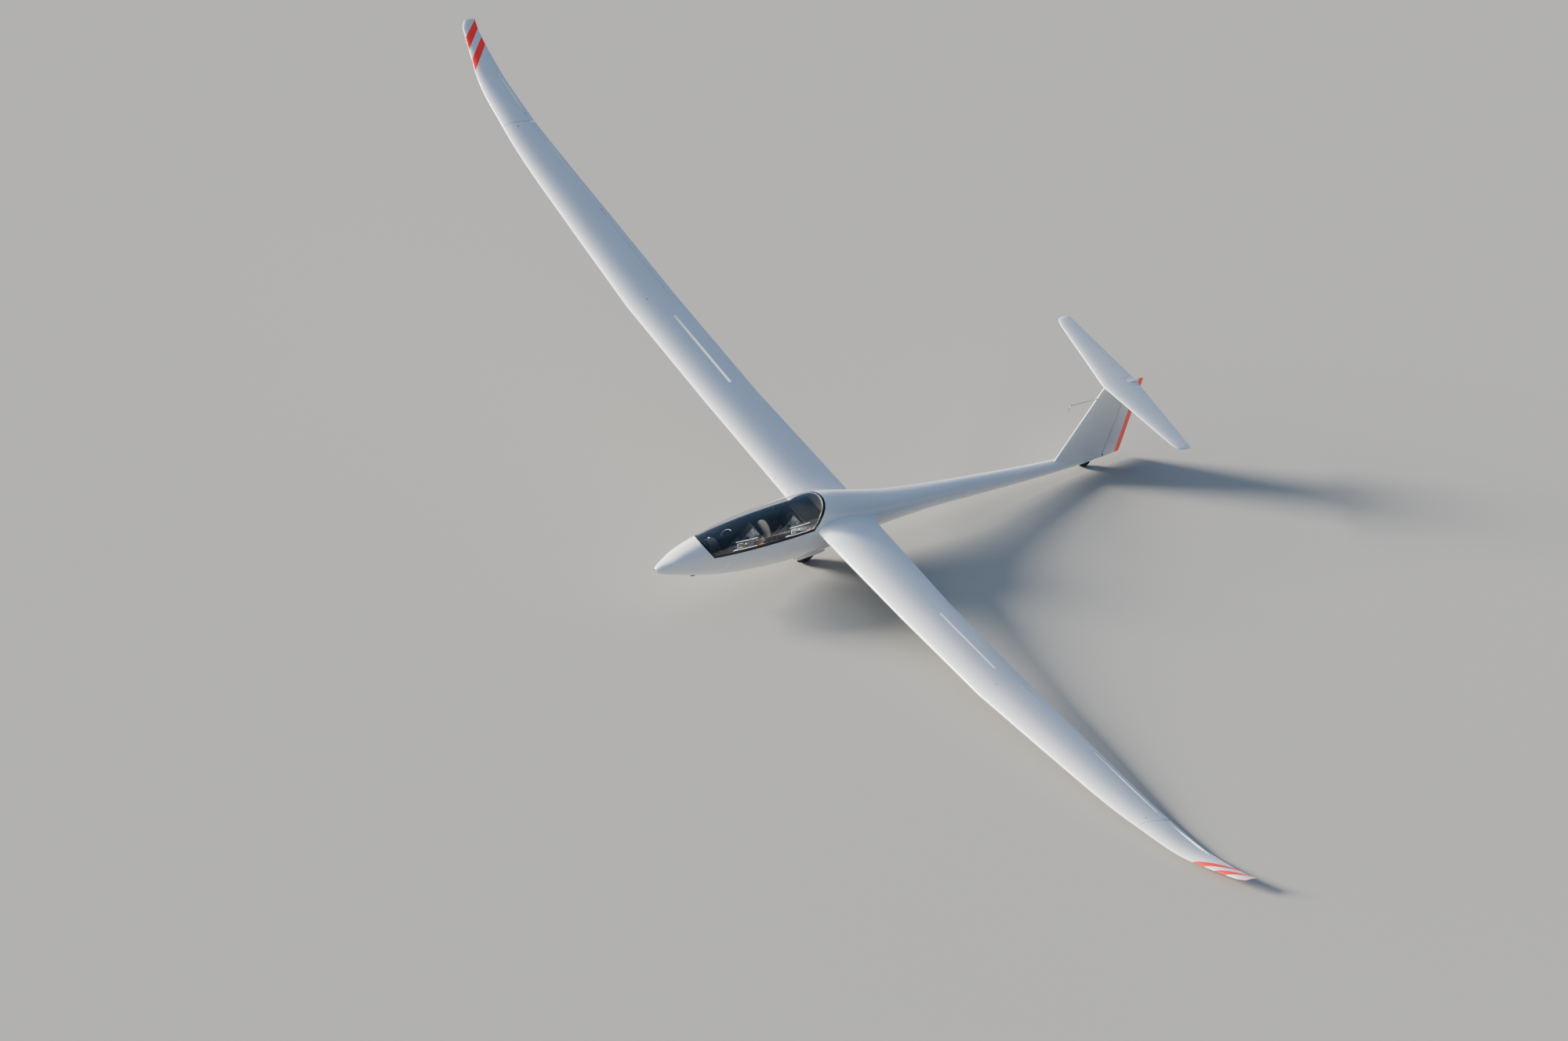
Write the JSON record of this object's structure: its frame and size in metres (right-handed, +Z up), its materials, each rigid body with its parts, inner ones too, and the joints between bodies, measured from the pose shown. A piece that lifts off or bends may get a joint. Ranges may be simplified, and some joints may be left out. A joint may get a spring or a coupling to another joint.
{
  "type": "two-seat sailplane with a T-tail",
  "caption": "Two-seat T-tail sailplane, parked on its wheels and one tip skid, with an opening canopy, turning controls, rising airbrakes and free wheels.",
  "frame": {"origin": "on the ground, under the middle of the parked aircraft's box", "axes": "+X aft along the ground under the fuselage, +Y to starboard, +Z up; the nose stands 7 degrees up and the port wing 11 degrees down, as it parks"},
  "size_m": [8.6874, 19.598, 4.1599],
  "materials": {
    "gelcoat": "glossy white gel coat",
    "canopy_frame": "satin black",
    "canopy_glass": "clear acrylic",
    "tyre": "ribbed rubber",
    "wheel_alloy": "cast and machined",
    "steel": "painted or plated",
    "interior": "fine grained",
    "cushion_cloth": "woven",
    "panel_black": "crackle black",
    "skid": "scuffed"
  },
  "bodies": {
    "airframe": {"cockpit_shell": "gelcoat", "centre_fuselage": "gelcoat", "tail_boom": "gelcoat", "nose_intake": "gelcoat", "fin": "gelcoat", "stabiliser": "gelcoat", "fin_probe": "steel", "main_gear_fork": "steel", "nose_wheel_axle": "steel", "tail_wheel_axle": "steel", "tow_hook_nose": "steel", "tow_hook_centre": "steel", "seat_pan_front": "interior", "seat_cushion_front": "cushion_cloth", "headrest_front": "cushion_cloth", "seat_pan_rear": "interior", "seat_cushion_rear": "cushion_cloth", "headrest_rear": "cushion_cloth", "instrument_panel_front": "panel_black", "instrument_panel_rear": "panel_black", "control_stick_front": "panel_black", "control_stick_rear": "panel_black", "rudder_pedals": "steel", "wing_inner_starboard": "gelcoat", "wing_outer_starboard": "gelcoat", "tip_skid_starboard": "skid", "gear_door_starboard": "gelcoat", "side_console_starboard": "interior", "wing_inner_port": "gelcoat", "wing_outer_port": "gelcoat", "tip_skid_port": "skid", "gear_door_port": "gelcoat", "side_console_port": "interior"},
    "canopy": {"canopy_frame": "canopy_frame", "canopy_glass": "canopy_glass"},
    "rudder": {"rudder": "gelcoat"},
    "elevator": {"elevator_starboard": "gelcoat", "elevator_port": "gelcoat"},
    "main_wheel": {"main_tyre": "tyre", "main_wheel_hub": "wheel_alloy"},
    "nose_wheel": {"nose_tyre": "tyre", "nose_wheel_hub": "wheel_alloy"},
    "tail_wheel": {"tail_tyre": "tyre", "tail_wheel_hub": "wheel_alloy"},
    "aileron_inner_starboard": {"aileron_inner_starboard": "gelcoat"},
    "aileron_outer_starboard": {"aileron_outer_starboard": "gelcoat"},
    "airbrake_upper_starboard": {"airbrake_upper_starboard": "gelcoat"},
    "airbrake_lower_starboard": {"airbrake_lower_starboard": "gelcoat"},
    "aileron_inner_port": {"aileron_inner_port": "gelcoat"},
    "aileron_outer_port": {"aileron_outer_port": "gelcoat"},
    "airbrake_upper_port": {"airbrake_upper_port": "gelcoat"},
    "airbrake_lower_port": {"airbrake_lower_port": "gelcoat"}
  },
  "joints": [
    {"name": "canopy_opening", "type": "hinge", "parent": "airframe", "child": "canopy", "pos_m": [-2.81562, 0.60881, 0.96803], "axis": [-1, -0.0068, 0.0051], "range_deg": [0, 80]},
    {"name": "rudder_turn", "type": "hinge", "parent": "airframe", "child": "rudder", "pos_m": [3.89821, 0.28424, 0.09767], "axis": [0.128, -0.2003, 0.9713], "range_deg": [-30, 30]},
    {"name": "elevator_turn", "type": "hinge", "parent": "airframe", "child": "elevator", "pos_m": [4.03168, 0.00102, 1.47741], "axis": [0.0262, 0.9797, 0.1986], "range_deg": [-25, 20]},
    {"name": "aileron_inner_port_turn", "type": "hinge", "parent": "airframe", "child": "aileron_inner_port", "pos_m": [-1.13713, -4.23381, 0.31072], "axis": [0.0672, 0.996, 0.0597], "range_deg": [-20, 20]},
    {"name": "aileron_inner_starboard_turn", "type": "hinge", "parent": "airframe", "child": "aileron_inner_starboard", "pos_m": [-0.9007, 4.61516, 2.10428], "axis": [-0.0154, 0.9427, 0.3332], "range_deg": [-20, 20]},
    {"name": "aileron_outer_port_turn", "type": "hinge", "parent": "airframe", "child": "aileron_outer_port", "pos_m": [-1.38181, -7.88395, 0.09204], "axis": [-0.0146, 0.9993, 0.0331], "range_deg": [-20, 20]},
    {"name": "aileron_outer_starboard_turn", "type": "hinge", "parent": "airframe", "child": "aileron_outer_starboard", "pos_m": [-0.95554, 8.07006, 3.32569], "axis": [0.0661, 0.9313, 0.3582], "range_deg": [-20, 20]},
    {"name": "airbrake_upper_port_rise", "type": "slide", "parent": "airframe", "child": "airbrake_upper_port", "axis": [0.2371, -0.1052, 0.9658], "range_m": [0, 0.145]},
    {"name": "airbrake_upper_starboard_rise", "type": "slide", "parent": "airframe", "child": "airbrake_upper_starboard", "axis": [0.2321, -0.2912, 0.9281], "range_m": [0, 0.145]},
    {"name": "airbrake_lower_port_rise", "type": "slide", "parent": "airframe", "child": "airbrake_lower_port", "axis": [0.2371, -0.1052, 0.9658], "range_m": [0, 0.0725]},
    {"name": "airbrake_lower_starboard_rise", "type": "slide", "parent": "airframe", "child": "airbrake_lower_starboard", "axis": [0.2321, -0.2912, 0.9281], "range_m": [0, 0.0725]},
    {"name": "main_wheel_turn", "type": "hinge", "parent": "airframe", "child": "main_wheel", "pos_m": [-1.50614, 0.41003, 0.18948], "axis": [0.0262, 0.9797, 0.1986], "continuous": true},
    {"name": "nose_wheel_turn", "type": "hinge", "parent": "airframe", "child": "nose_wheel", "pos_m": [-3.56381, 0.3906, 0.55658], "axis": [0.0262, 0.9797, 0.1986], "continuous": true},
    {"name": "tail_wheel_turn", "type": "hinge", "parent": "airframe", "child": "tail_wheel", "pos_m": [3.60648, 0.29085, 0.10352], "axis": [0.0262, 0.9797, 0.1986], "continuous": true}
  ],
  "couplings": [
    {"joint": "aileron_inner_starboard_turn", "follows": "aileron_inner_port_turn", "ratio": -1},
    {"joint": "aileron_outer_port_turn", "follows": "aileron_inner_port_turn", "ratio": 1},
    {"joint": "aileron_outer_starboard_turn", "follows": "aileron_inner_port_turn", "ratio": -1},
    {"joint": "airbrake_upper_starboard_rise", "follows": "airbrake_upper_port_rise", "ratio": 1},
    {"joint": "airbrake_lower_port_rise", "follows": "airbrake_upper_port_rise", "ratio": 0.5},
    {"joint": "airbrake_lower_starboard_rise", "follows": "airbrake_upper_port_rise", "ratio": 0.5}
  ]
}
